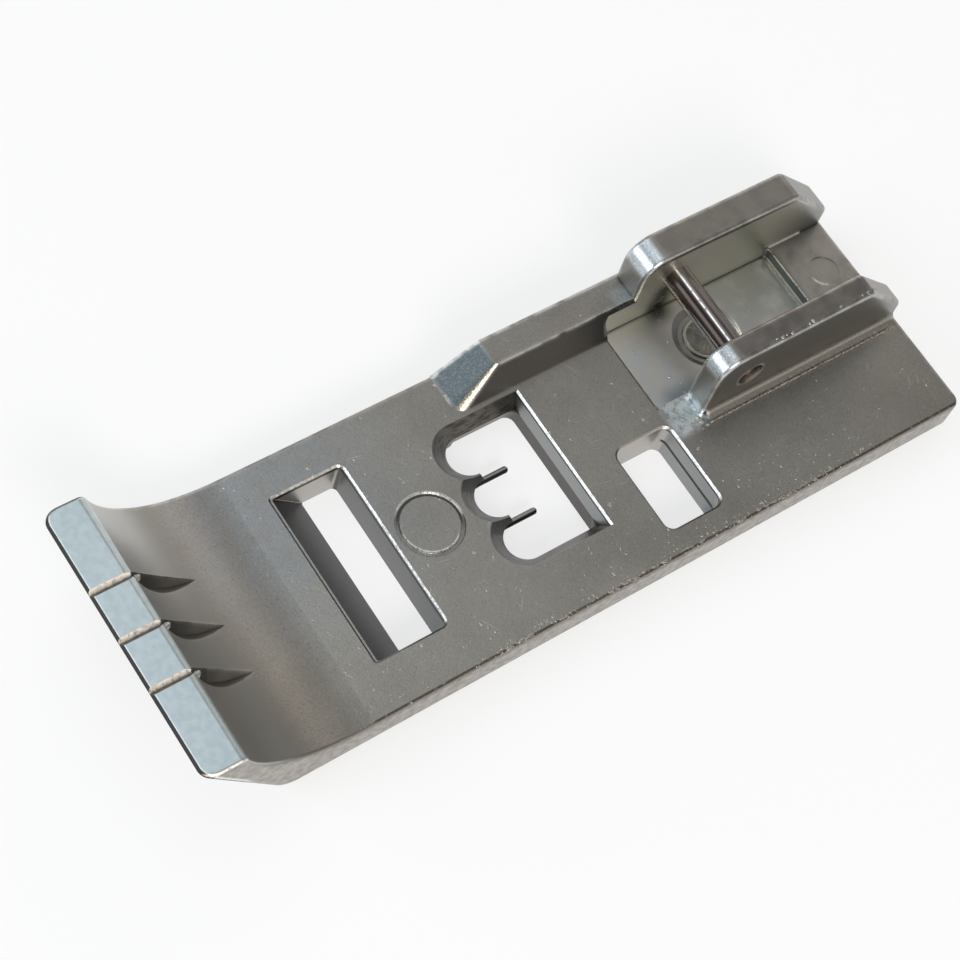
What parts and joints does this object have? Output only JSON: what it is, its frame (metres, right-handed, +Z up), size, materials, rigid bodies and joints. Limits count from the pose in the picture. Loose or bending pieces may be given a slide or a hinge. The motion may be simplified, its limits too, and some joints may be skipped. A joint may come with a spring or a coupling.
{
  "type": "sewing machine presser foot",
  "caption": "Clip-on presser foot for a cover stitch machine: flat plate with an upswept toe, a fingered needle opening, slots, a guide wall and a clevis with a cross pin.",
  "frame": {"origin": "bottom centre of the whole part: middle of its width and length, on the sole", "axes": "+Y from the toe to the heel, +Z up from the sole, the guide wall and the clevis on the -X side"},
  "size_m": [0.0164, 0.053, 0.0088],
  "materials": {
    "plated_casting": "satin plated casting",
    "pin_steel": "drawn and polished"
  },
  "bodies": {
    "root": {"foot_body": "plated_casting", "cross_pin": "pin_steel"}
  },
  "joints": []
}
